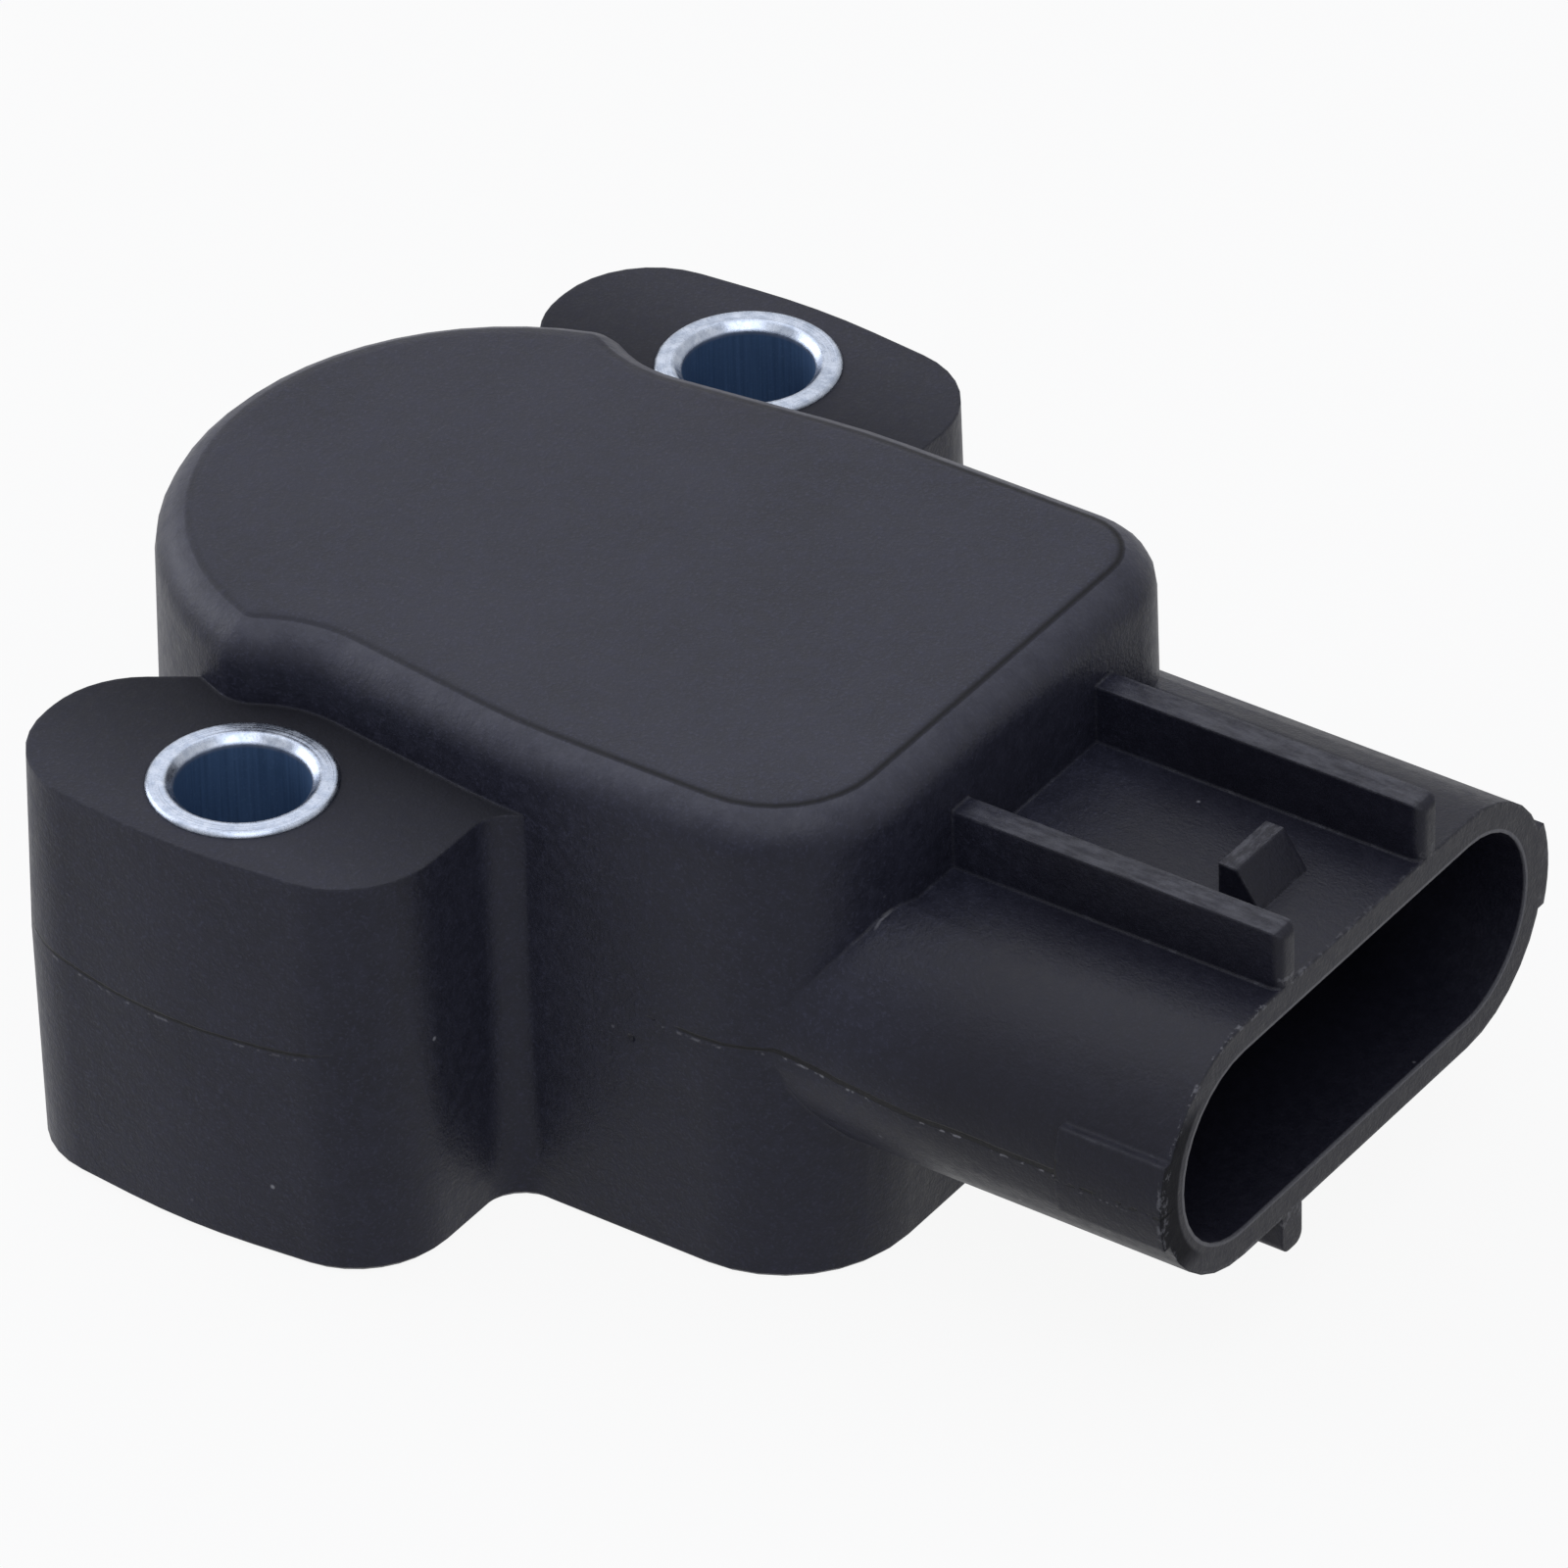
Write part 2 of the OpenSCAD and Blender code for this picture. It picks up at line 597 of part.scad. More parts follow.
// Return spring: close-wound torsion coil with one leg in the housing wall
function coil_at(t) = [spring_r * cos(t), spring_r * sin(t), spring_z + spring_pitch * t / 360];
module return_spring() {
  steps = 30;
  sides = 8;
  total = spring_turns * steps;
  a0 = 60;
  rings = [for (j = [0 : total])
    let (t = a0 + 360 * j / steps, c = coil_at(t), c2 = [c[0], c[1], c[2] - spring_pitch * a0 / 360])
    [for (i = [0 : sides - 1])
      let (b = 360 * i / sides)
      c2 + wire_d / 2 * (cos(b) * [cos(t), sin(t), 0] - sin(b) * [0, 0, 1])]];
  color([0.55, 0.57, 0.6]) {
    loft(rings, coil_at(a0) - [0, 0, spring_pitch * a0 / 360],
      coil_at(a0 + 360 * spring_turns) - [0, 0, spring_pitch * a0 / 360]);
    // Fixed leg, running out to the chamber wall
    rotate([0, 0, a0])
      translate([spring_r - 0.1, 0, spring_z])
        rotate([0, 90, 0])
          cylinder(h = chamber_w - spring_r, d = wire_d, $fn = 8);
  }
}

// Wiper: sheet foot on the rotor's table with two sprung fingers
module wiper() {
  z0 = table_z + table_t;
  top = track_z - 0.1;
  y0 = -finger_len / 2;
  y1 = finger_len / 2;
  color([0.78, 0.6, 0.35])
    rotate([0, 0, lug_a]) {
      translate([hub_r + 0.2, y0 - foot_w + 0.2, z0])
        cube([ring_out + track_w - hub_r - 0.2, foot_w, wiper_t]);
      for (r = [ring_in, ring_out])
        translate([r + track_w / 8, 0, 0])
          rotate([90, 0, 90])
            linear_extrude(track_w * 3 / 4)
              polygon([[y0, z0], [y0, z0 + wiper_t], [y1 - 0.4, top - 0.15], [y1, top],
                [y1 + 0.4, top - 0.15], [y1 + 0.2, top - 0.35], [y1, top - 0.25], [y1 - 0.3, top - 0.4],
                [y0 + 0.3, z0]]);
    }
}

// Resistance element under the roof, its tracks and leads
module ring_sector(r0, r1, a0, a1, h) {
  rotate([0, 0, a0])
    rotate_extrude(angle = a1 - a0)
      translate([r0, 0])
        square([r1 - r0, h]);
}
module element_board() {
  color([0.86, 0.84, 0.76])
    translate([0, 0, board_z])
      difference() {
        linear_extrude(board_t)
          polygon(outline(inset(chamber_path, board_gap)));
        translate([0, 0, -1])
          cylinder(h = board_t + 2, r = boss_r + 0.1);
      }
}
module resistor_track() {
  color([0.05, 0.05, 0.06])
    translate([0, 0, track_z])
      ring_sector(ring_out, ring_out + track_w, lug_a, track_end, track_t);
}
module collector_track() {
  color([0.75, 0.76, 0.78])
    translate([0, 0, track_z])
      ring_sector(ring_in, ring_in + track_w, lug_a, track_end, track_t);
}
// Lead of terminal k: a strip to the ring of radius r and the ring's own run on from angle a
lead_w = 1;
function lead_y(k) = shroud_y + k * pin_pitch;
function lead_x(r, k) = sqrt(max(0, r * r - lead_y(k) * lead_y(k)));
function lead_a(r, k) = atan2(lead_y(k), lead_x(r, k));
module lead(r, k) {
  translate([lead_x(r, k), lead_y(k) - lead_w / 2, 0])
    cube([pin_root_x - lead_x(r, k) - 0.1, lead_w, track_t]);
}
module lead_traces() {
  mid_out = ring_out + track_w / 2;
  mid_in = ring_in + track_w / 2;
  w = track_w * 3 / 8;
  color([0.8, 0.8, 0.82])
    translate([0, 0, track_z]) {
      lead(mid_out, -1);
      lead(mid_in, 0);
      lead(mid_out, 1);
      ring_sector(ring_in, ring_in + track_w, track_end, 360 + lead_a(mid_in, 0), track_t);
      ring_sector(mid_out - w, mid_out + w, track_end, 360 + lead_a(mid_out, -1), track_t);
      ring_sector(mid_out - w, mid_out + w, lead_a(mid_out, 1), lug_a, track_t);
    }
}

// Terminals: blade in the socket, shank through the wall, leg up to the board
module terminal(k) {
  x1 = mouth_x - pin_recess;
  z0 = shroud_z - pin_t / 2;
  color([0.8, 0.78, 0.7])
    translate([0, shroud_y + k * pin_pitch + pin_w / 2, 0])
      rotate([90, 0, 0])
        linear_extrude(pin_w)
          polygon([[pin_root_x, z0], [x1 - pin_tip, z0], [x1, shroud_z - 0.12], [x1, shroud_z + 0.12],
            [x1 - pin_tip, z0 + pin_t], [pin_root_x + pin_t, z0 + pin_t],
            [pin_root_x + pin_t, board_z], [pin_root_x, board_z]]);
}
module terminal_1() terminal(-1);
module terminal_2() terminal(0);
module terminal_3() terminal(1);

housing();
limiter_near();
limiter_far();
base_cover();
face_seal();
rotor();
thrust_washer();
return_spring();
wiper();
element_board();
resistor_track();
collector_track();
lead_traces();
terminal_1();
terminal_2();
terminal_3();
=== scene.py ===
"""Looks of a throttle position sensor.

A moulded black housing, two zinc-plated limiters, a sprung rotor and what it carries.
"""

import bpy
from mathutils import Matrix, Vector


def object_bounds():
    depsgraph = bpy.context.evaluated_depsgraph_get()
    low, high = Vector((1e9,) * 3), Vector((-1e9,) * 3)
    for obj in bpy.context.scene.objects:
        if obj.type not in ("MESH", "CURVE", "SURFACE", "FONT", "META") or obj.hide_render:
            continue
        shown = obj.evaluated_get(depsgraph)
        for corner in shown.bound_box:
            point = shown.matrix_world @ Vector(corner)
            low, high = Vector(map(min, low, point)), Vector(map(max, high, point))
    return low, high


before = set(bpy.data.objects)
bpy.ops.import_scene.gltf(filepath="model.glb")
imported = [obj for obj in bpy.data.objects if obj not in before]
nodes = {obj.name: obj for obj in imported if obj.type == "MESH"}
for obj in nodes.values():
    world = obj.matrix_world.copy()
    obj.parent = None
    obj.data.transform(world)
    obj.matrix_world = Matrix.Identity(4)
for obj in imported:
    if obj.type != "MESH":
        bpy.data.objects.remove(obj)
cad_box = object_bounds()

# Main sizes of the solids, in millimetres
BODY_H = 22.9  # top panel
BODY_FRONT = 25.6  # body's front wall
EAR_H, EAR_Y = 19.4, 14.1  # ears' tops, and where they leave the body
HOLE_Y, BORE_R, RING_R = 18.1, 2.85, 4.0  # limiters
RIB_H = 19.53  # tops of the connector's ribs
WEDGE_H, WEDGE_Y, WEDGE_HALF = 18.48, 1.62, 1.75  # latch wedge: top, centre, half width
MOUTH_X = 41.3
SHROUD_Y, SHROUD_Z = 1.52, 11.02  # centre of the shroud's oval
SHROUD_L, SHROUD_R, SHROUD_WALL = 8.38, 5.76, 1.34  # half of its flat, its radius, its wall
SOCKET_X = 26.9  # just behind the socket's floor

# Surface values shared by materials
MM = 0.001
PLASTIC_IOR = 1.5
# Light specks of dust and flash, also used for painted glints and highlights
LIGHT_SPECK_AND_GLINT = (0.30, 0.30, 0.33)
DARK = (0.002, 0.002, 0.003)


def lighter(colour, times):
    return tuple(min(1.0, v * times) for v in colour)


class Tree:
    """Small helper that builds one node material. Lengths are in millimetres."""

    def __init__(self, name):
        self.mat = bpy.data.materials.new(name)
        self.mat.use_nodes = True
        self.t = self.mat.node_tree
        self.t.nodes.clear()
        self.out = self.t.nodes.new("ShaderNodeOutputMaterial")
        self.bsdf = self.t.nodes.new("ShaderNodeBsdfPrincipled")
        self.link(self.bsdf.outputs[0], self.out.inputs[0])
        coord = self.t.nodes.new("ShaderNodeTexCoord").outputs["Object"]
        self.pos = self.vec("SCALE", coord, 1 / MM)
        self.x, self.y, self.z = self.split(self.pos)
        self.facing = self.t.nodes.new("ShaderNodeNewGeometry").outputs["Normal"]

    def link(self, a, b):
        self.t.links.new(a, b)

    def put(self, socket, value):
        if hasattr(value, "is_output"):
            self.link(value, socket)
        else:
            socket.default_value = value

    def split(self, vector):
        n = self.t.nodes.new("ShaderNodeSeparateXYZ")
        self.link(vector, n.inputs[0])
        return n.outputs

    def join(self, *parts):
        n = self.t.nodes.new("ShaderNodeCombineXYZ")
        for k, v in enumerate(parts):
            self.put(n.inputs[k], v)
        return n.outputs[0]

    def vec(self, op, a, b):
        n = self.t.nodes.new("ShaderNodeVectorMath")
        n.operation = op
        self.put(n.inputs[0], a)
        self.put(n.inputs["Scale" if op == "SCALE" else 1], b)
        return n.outputs["Value" if op in ("DOT_PRODUCT", "LENGTH") else "Vector"]

    def math(self, op, a, b=0.0):
        n = self.t.nodes.new("ShaderNodeMath")
        n.operation = op
        self.put(n.inputs[0], a)
        self.put(n.inputs[1], b)
        return n.outputs[0]

    def add(self, a, b):
        return self.math("ADD", a, b)

    def sub(self, a, b):
        return self.math("SUBTRACT", a, b)

    def mul(self, *v):
        r = v[0]
        for k in v[1:]:
            r = self.math("MULTIPLY", r, k)
        return r

    def top(self, *v):
        """The largest of several values."""
        r = v[0]
        for k in v[1:]:
            r = self.math("MAXIMUM", r, k)
        return r

    def size(self, a):
        return self.math("ABSOLUTE", a)

    def hypot(self, a, b):
        return self.math("SQRT", self.add(self.mul(a, a), self.mul(b, b)))

    def remap(self, v, a0, a1, b0=0.0, b1=1.0, smooth=False):
        """b0 where v is a0, b1 where v is a1, a ramp between and flat beyond."""
        n = self.t.nodes.new("ShaderNodeMapRange")
        n.clamp = True
        n.interpolation_type = "SMOOTHSTEP" if smooth else "LINEAR"
        self.put(n.inputs[0], v)
        for k, s in enumerate((a0, a1, b0, b1)):
            n.inputs[k + 1].default_value = s
        return n.outputs[0]

    def band(self, v, centre, half, soft):
        """1 where v is within half of centre, 0 beyond half + soft."""
        return self.remap(self.size(self.sub(v, centre)), half + soft, half)

    def distance(self, point):
        return self.vec("LENGTH", self.vec("SUBTRACT", self.pos, point), (0, 0, 0))

    def spot(self, point, r, soft):
        """1 within r of the point."""
        return self.remap(self.distance(point), r + soft, r)

    def noise(self, size, detail=3.0, rough=0.55, stretch=(1, 1, 1), vector=None, shift=0.0):
        """Noise with features of about size."""
        n = self.t.nodes.new("ShaderNodeTexNoise")
        m = self.t.nodes.new("ShaderNodeMapping")
        m.inputs["Scale"].default_value = tuple(s / size for s in stretch)
        m.inputs["Location"].default_value = (shift, shift, shift)
        self.link(vector or self.pos, m.inputs[0])
        n.inputs["Scale"].default_value = 1.0
        n.inputs["Detail"].default_value = detail
        n.inputs["Roughness"].default_value = rough
        self.link(m.outputs[0], n.inputs["Vector"])
        return n.outputs[0]

    def cells(self, size):
        """Distance to the nearest of points that lie about size apart."""
        n = self.t.nodes.new("ShaderNodeTexVoronoi")
        n.inputs["Scale"].default_value = 1.0 / size
        self.link(self.pos, n.inputs["Vector"])
        return n.outputs[0]

    def mix(self, fac, a, b):
        n = self.t.nodes.new("ShaderNodeMix")
        n.data_type = "RGBA"
        self.put(n.inputs[0], fac)
        for k, v in ((6, a), (7, b)):
            self.put(n.inputs[k], v + (1.0,) if isinstance(v, tuple) else v)
        return n.outputs[2]

    def edges(self, radius, low=0.985, high=0.86):
        """Mask of edges narrower than radius, and the normal rounded over them."""
        n = self.t.nodes.new("ShaderNodeBevel")
        n.samples = 4
        n.inputs["Radius"].default_value = radius * MM
        d = self.vec("DOT_PRODUCT", n.outputs[0], self.facing)
        return self.remap(d, low, high), n.outputs[0]

    def bump(self, height, strength, distance, normal):
        """Distance in millimetres for a height of 1."""
        n = self.t.nodes.new("ShaderNodeBump")
        n.inputs["Strength"].default_value = strength
        n.inputs["Distance"].default_value = distance * MM
        self.put(n.inputs["Height"], height)
        self.link(normal, n.inputs["Normal"])
        return n.outputs[0]

    def set(self, **kw):
        for k, v in kw.items():
            self.put(self.bsdf.inputs[k.replace("_", " ")], v)
        return self.mat


def grain(t, low, high):
    """Spark-eroded plastic: its colour, and two heights of grain."""
    fine = t.noise(0.16, 2, 0.6)
    mid = t.noise(0.55, 3, 0.6)
    cloud = t.noise(7.0, 3, 0.62)
    base = t.mix(t.remap(cloud, 0.34, 0.66), low, high)
    base = t.mix(t.mul(t.remap(mid, 0.42, 0.72), 0.45), base, lighter(high, 1.7))
    base = t.mix(t.mul(t.remap(fine, 0.54, 0.72), 0.50), base, lighter(high, 2.6))
    return base, fine, mid


def dust(t, base):
    """Sparse dust and lint, a tenth or two of a millimetre across."""
    small = t.mul(t.remap(t.cells(3.4), 0.040, 0.018),
                  t.remap(t.noise(14, 1, 0.5), 0.55, 0.6))
    large = t.mul(t.remap(t.cells(9.0), 0.024, 0.012),
                  t.remap(t.noise(21, 1, 0.5, shift=7.0), 0.5, 0.55))
    return t.mix(t.mul(t.top(small, large), 0.7), base, LIGHT_SPECK_AND_GLINT)


# Parting line of the housing
LINE_EAR_Z, LINE_EAR_BOW = 10.56, 0.011  # height on the ears, rise per square mm of x
LINE_BODY_Z = 11.8  # height on the body
LINE_TUBE_DROP, LINE_REAR_DROP = 0.95, 1.05  # how far it falls on the connector and behind
LINE_WOBBLE = 0.24
LINE_HALF, LINE_TUBE_EXTRA = 0.050, 0.06  # half width, and what the connector adds
LINE_START, LINE_END = 22.6, 36.2  # on the connector, where the heavy line runs


def parting(t, base, sd):
    """Line on the ears' faces, round the body and along the connector, with its burr. The dark
    line is partly painted shade where one half of the mould stands proud, and the light dots
    below are painted highlight on that ledge.
    """
    x, y, z = t.x, t.y, t.z
    wobble = t.mul(t.sub(t.noise(3.2, 3, 0.65), 0.5), LINE_WOBBLE)
    z_ear = t.add(t.mul(t.mul(x, x), LINE_EAR_BOW), LINE_EAR_Z)
    z_body = t.sub(LINE_BODY_Z, t.remap(x, 22.8, 30.4, 0.0, LINE_TUBE_DROP, smooth=True))
    z_body = t.sub(z_body, t.remap(x, 9.0, 5.0, 0.0, LINE_REAR_DROP))
    on_ear = t.remap(t.size(y), EAR_Y, EAR_Y + 0.05)
    z_line = t.add(t.mul(on_ear, z_ear), t.mul(t.sub(1.0, on_ear), z_body))
    dz = t.sub(z, t.add(z_line, wobble))

    # Hidden in the relief, at the ears' ends and inside the socket
    bare = t.mul(t.remap(y, -9.0, -9.1), t.remap(x, 7.5, 8.5), t.remap(x, 17.6, 16.8))
    ear_end = t.mul(on_ear, t.remap(x, 6.2, 7.4))
    in_socket = t.mul(t.remap(x, SOCKET_X - 0.1, SOCKET_X + 0.1), t.remap(sd, -0.5, -0.7))
    shown = t.sub(1.0, t.top(in_socket, bare, ear_end))

    # Heavier on the connector, up to the step near the mouth, with more painted shade
    before_end = t.remap(x, LINE_END + 0.05, LINE_END - 0.05)
    on_tube = t.mul(t.remap(x, LINE_START - 0.4, LINE_START + 0.4), before_end)
    wide = t.add(LINE_HALF, t.mul(on_tube, LINE_TUBE_EXTRA))
    broken = t.top(t.remap(t.noise(2.4, 2, 0.5, shift=3.0), 0.32, 0.40), on_tube)
    past = t.mul(t.remap(x, LINE_END - 0.05, LINE_END + 0.05),
                 t.remap(t.noise(0.5, 1, 0.5), 0.5, 0.45))
    line = t.remap(t.sub(t.size(dz), wide), 0.05, 0.0)
    line = t.mul(line, shown, broken, t.sub(1.0, past))
    # The step's dark mark near the mouth is painted shade
    step = t.mul(t.band(x, LINE_END, 0.05, 0.05), t.band(z, 11.35, 0.40, 0.1),
                 t.remap(y, -9.0, -9.2))
    nick = t.spot((16.15, -14.0, 10.4), 0.12, 0.10)
    line = t.top(line, step, t.mul(nick, 0.6))

    # Light dots below the line: burr, lit as painted highlight
    below = t.band(dz, -0.20, 0.03, 0.06)
    dots = t.remap(t.noise(0.55, 2, 0.7, shift=11.0), 0.54, 0.64)
    burr_and_glint = t.mul(below, dots, shown, t.add(0.40, t.mul(on_tube, 0.40)))
    base = t.mix(t.mul(line, 0.9), base, DARK)
    return t.mix(t.mul(burr_and_glint, 0.7), base, LIGHT_SPECK_AND_GLINT), line


def mouth(t, base, rough, sd):
    """Connector's mouth: painted shade and more roughness on the outer zone at the near end, a
    painted highlight along the rim's inside edge, flash outside.
    """
    x, y, z = t.x, t.y, t.z
    face = t.remap(x, MOUTH_X - 0.03, MOUTH_X - 0.01)
    near_end = t.mul(t.remap(y, -8.2, -10.2), t.band(z, SHROUD_Z, 3.0, 1.0))
    # Painted shade on a narrow outer zone of the mouth face at the near end, standing in for a
    # shaded chamfer
    chamfer_shade = t.mul(face, t.remap(sd, -0.95, -0.80), near_end)
    base = t.mix(t.mul(chamfer_shade, 0.8), base, (0.003, 0.003, 0.004))
    rough = t.add(rough, t.mul(chamfer_shade, 0.45))

    # Painted highlight along the rim's inside edge
    inner_highlight = t.mul(t.remap(x, MOUTH_X - 0.15, MOUTH_X - 0.05),
                  t.band(sd, -SHROUD_WALL + 0.05, 0.06, 0.06))
    base = t.mix(t.mul(inner_highlight, 0.55), base, (0.16, 0.16, 0.18))

    flash = t.mul(t.remap(x, MOUTH_X - 0.22, MOUTH_X - 0.10), t.band(sd, 0.2, 0.32, 0.08))
    ragged = t.remap(t.noise(0.5, 3, 0.75, shift=5.0), 0.52, 0.60)
    flash = t.mul(flash, ragged, t.remap(y, 2.0, -6.0, 0.35, 1.0))
    return t.mix(t.mul(flash, 0.30), base, LIGHT_SPECK_AND_GLINT), rough


def top_panel(t, base, rough):
    """Painted highlight on the rounded top edge, and the witness line round the panel where
    that edge starts, darkened with painted shade.
    """
    z = t.z
    panel = t.remap(z, BODY_H - 0.095, BODY_H - 0.055)
    # Painted highlight on the rounded top edge, broken up by noise
    crown_highlight = t.mul(t.remap(z, BODY_H - 1.3, BODY_H - 0.5),
                  t.remap(z, BODY_H - 0.09, BODY_H - 0.12))
    crown_highlight = t.mul(crown_highlight, t.remap(t.noise(1.3, 3, 0.7, shift=9.0), 0.35, 0.65, 0.45, 1.0))
    base = t.mix(t.mul(crown_highlight, 0.55), base, (0.062, 0.063, 0.082))
    # The line's painted shade is plain at the front and fades towards the round end
    witness_shade = t.mul(t.band(z, BODY_H - 0.070, 0.004, 0.034),
                 t.remap(t.x, -4.0, 16.0, 0.30, 0.90))
    return t.mix(witness_shade, base, DARK), t.add(rough, t.mul(witness_shade, 0.25)), panel


def rubbed_and_highlit_edges(t, base, edge, up):
    """Edges rubbed light with a few bright nicks and partly painted highlight, the latch wedge
    scuffed, a painted glint at the shroud's root, and the ribs' tops lighter with streaks and
    painted highlight.
    """
    x, y, z = t.x, t.y, t.z
    nicks = t.remap(t.noise(1.1, 3, 0.7, shift=2.0), 0.56, 0.66)
    # Painted highlight on the ribs' ends near the mouth; along all edges the light is part wear
    # and part painted highlight
    ends = t.mul(t.remap(x, MOUTH_X - 1.0, MOUTH_X - 0.6), t.remap(z, 17.0, 17.3), 0.25)
    rub_and_highlight = t.mul(edge, t.add(ends, t.add(0.12, t.mul(nicks, 0.40))), t.remap(z, 0.3, 1.0))
    base = t.mix(rub_and_highlight, base, (0.105, 0.107, 0.130))

    wedge = t.mul(t.remap(z, WEDGE_H - 0.06, WEDGE_H - 0.02),
                  t.band(y, WEDGE_Y, WEDGE_HALF + 0.05, 0.05),
                  t.remap(z, WEDGE_H + 0.12, WEDGE_H + 0.04), up)
    scuff = t.remap(t.noise(0.35, 3, 0.7, stretch=(1.0, 0.35, 1.0)), 0.44, 0.62)
    base = t.mix(t.mul(wedge, scuff, 0.4), base, (0.10, 0.10, 0.12))

    # Glint where the shroud leaves the body
    root = t.mul(t.band(x, BODY_FRONT - 0.2, 0.03, 0.06), t.band(z, 17.12, 0.12, 0.10),
                 t.band(y, -9.2, 0.5, 0.3))
    base = t.mix(t.mul(root, 0.3), base, LIGHT_SPECK_AND_GLINT)

    # The ribs' tops: streaky wear and painted highlight
    rib_top_rub_and_sheen = t.mul(t.remap(z, RIB_H - 0.08, RIB_H - 0.03),
                    t.remap(x, BODY_FRONT + 0.1, BODY_FRONT + 0.8), up)
    streaks = t.noise(0.5, 3, 0.7, stretch=(0.3, 1.0, 1.0), shift=4.0)
    return t.mix(t.mul(rib_top_rub_and_sheen, t.remap(streaks, 0.38, 0.62), 0.45), base,
                 (0.090, 0.091, 0.110))


def housing_black(name):
    """Housing: eroded grain, a darker polished connector, painted shade on the ears' tops,
    parting line, mouth, rounded top edge, wear, painted highlights and dust.
    """
    t = Tree(name)
    x, y, z = t.x, t.y, t.z
    base, fine, mid = grain(t, (0.0112, 0.0118, 0.0205), (0.0165, 0.0172, 0.0285))
    edge, rounded = t.edges(0.22)
    up = t.remap(t.split(t.facing)[2], 0.85, 0.95)
    # The connector comes out of a polished part of the mould and is darker
    tube = t.mul(t.remap(x, BODY_FRONT - 0.4, BODY_FRONT + 6.0, smooth=True),
                 t.remap(z, RIB_H + 0.17, RIB_H - 0.03))
    base = t.mix(t.mul(tube, 0.70), base, (0.0058, 0.0057, 0.0105))
    # The ears' tops get painted shade, most near the body, and more roughness
    ear_top_shade = t.mul(t.remap(z, EAR_H - 0.06, EAR_H - 0.02),
                    t.remap(z, EAR_H + 0.06, EAR_H + 0.02))
    ear_top_shade = t.mul(ear_top_shade, up, t.remap(t.size(y), 21.5, 14.5, 0.3, 1.0))
    base = t.mix(t.mul(ear_top_shade, 0.8), base, (0.0050, 0.0052, 0.0075))
    rough = t.add(t.remap(mid, 0.3, 0.7, 0.40, 0.50), t.mul(ear_top_shade, 0.30))

    # Distance from the shroud's outline, negative inside it
    past_flat = t.top(t.sub(t.size(t.sub(y, SHROUD_Y)), SHROUD_L), 0.0)
    sd = t.sub(t.hypot(past_flat, t.sub(z, SHROUD_Z)), SHROUD_R)

    base, line = parting(t, base, sd)
    base, rough = mouth(t, base, rough, sd)
    base, rough, panel = top_panel(t, base, rough)
    base = dust(t, rubbed_and_highlit_edges(t, base, edge, up))

    normal = t.bump(fine, 0.45, 0.05, rounded)
    normal = t.bump(mid, 0.28, 0.10, normal)
    normal = t.bump(panel, 0.6, 0.05, normal)
    normal = t.bump(t.mul(line, -1.0), 0.8, 0.10, normal)
    return t.set(Base_Color=base, Roughness=rough, Normal=normal, IOR=PLASTIC_IOR,
                 Specular_IOR_Level=0.19)


def cover_black(name):
    """Base cover: same plastic, shallower grain, and three ejector marks."""
    t = Tree(name)
    base, fine, mid = grain(t, (0.0185, 0.0188, 0.0270), (0.0245, 0.0248, 0.0350))
    edge, rounded = t.edges(0.18)
    centres = ((16.0, 6.5, 0.0), (16.0, -6.5, 0.0), (-9.6, 0.0, 0.0))
    rings = t.top(*(t.band(t.distance(c), 1.2, 0.03, 0.08) for c in centres))
    base = t.mix(t.mul(rings, 0.5), base, DARK)
    base = t.mix(t.mul(edge, 0.25), base, (0.09, 0.09, 0.10))
    base = dust(t, base)
    normal = t.bump(fine, 0.28, 0.05, rounded)
    normal = t.bump(mid, 0.18, 0.10, normal)
    normal = t.bump(t.mul(rings, -1.0), 0.6, 0.08, normal)
    return t.set(Base_Color=base, Roughness=t.remap(mid, 0.3, 0.7, 0.46, 0.58),
                 Normal=normal, IOR=PLASTIC_IOR, Specular_IOR_Level=0.2)


def zinc(name):
    """Bright zinc plate: turned end faces, rolled bore edge, blue passivation inside."""
    t = Tree(name)
    ay = t.sub(t.size(t.y), HOLE_Y)
    r = t.hypot(t.x, ay)
    turn = t.mul(t.math("ARCTAN2", ay, t.x), 10.0)
    inside = t.mul(t.remap(r, BORE_R + 0.12, BORE_R + 0.03),
                   t.remap(t.z, EAR_H - 0.05, EAR_H - 0.35), t.remap(t.z, 0.0, 0.35))
    flat = t.mul(t.remap(r, BORE_R + 0.25, BORE_R + 0.40), t.remap(r, RING_R, RING_R - 0.1))
    round_axis = t.join(turn, r, t.z)
    turned = t.noise(1.0, 2, 0.5, stretch=(0.05, 9.0, 0.0), vector=round_axis)
    streak = t.noise(1.0, 3, 0.6, stretch=(1.6, 0.0, 0.12), vector=round_axis)
    spots = t.noise(0.5, 4, 0.65)
    fine = t.noise(0.12, 2, 0.6)
    rounded = t.edges(0.22)[1]
    base = t.mix(t.remap(spots, 0.32, 0.68), (0.27, 0.31, 0.39), (0.44, 0.48, 0.56))
    base = t.mix(t.mul(t.remap(fine, 0.60, 0.70), 0.5), base, (0.20, 0.23, 0.30))
    bore = t.mix(t.remap(streak, 0.34, 0.66), (0.050, 0.100, 0.200), (0.072, 0.138, 0.265))
    bore = t.mix(t.mul(t.remap(fine, 0.56, 0.7), 0.4), bore, (0.10, 0.18, 0.33))
    normal = t.bump(t.mul(turned, flat), 0.35, 0.03, rounded)
    normal = t.bump(spots, 0.20, 0.04, normal)
    normal = t.bump(t.mul(streak, inside), 0.3, 0.06, normal)
    return t.set(Base_Color=t.mix(inside, base, bore),
                 Metallic=t.sub(1.0, t.mul(inside, 0.75)),
                 Roughness=t.add(t.remap(spots, 0.3, 0.75, 0.20, 0.34), t.mul(inside, 0.22)),
                 Normal=normal)


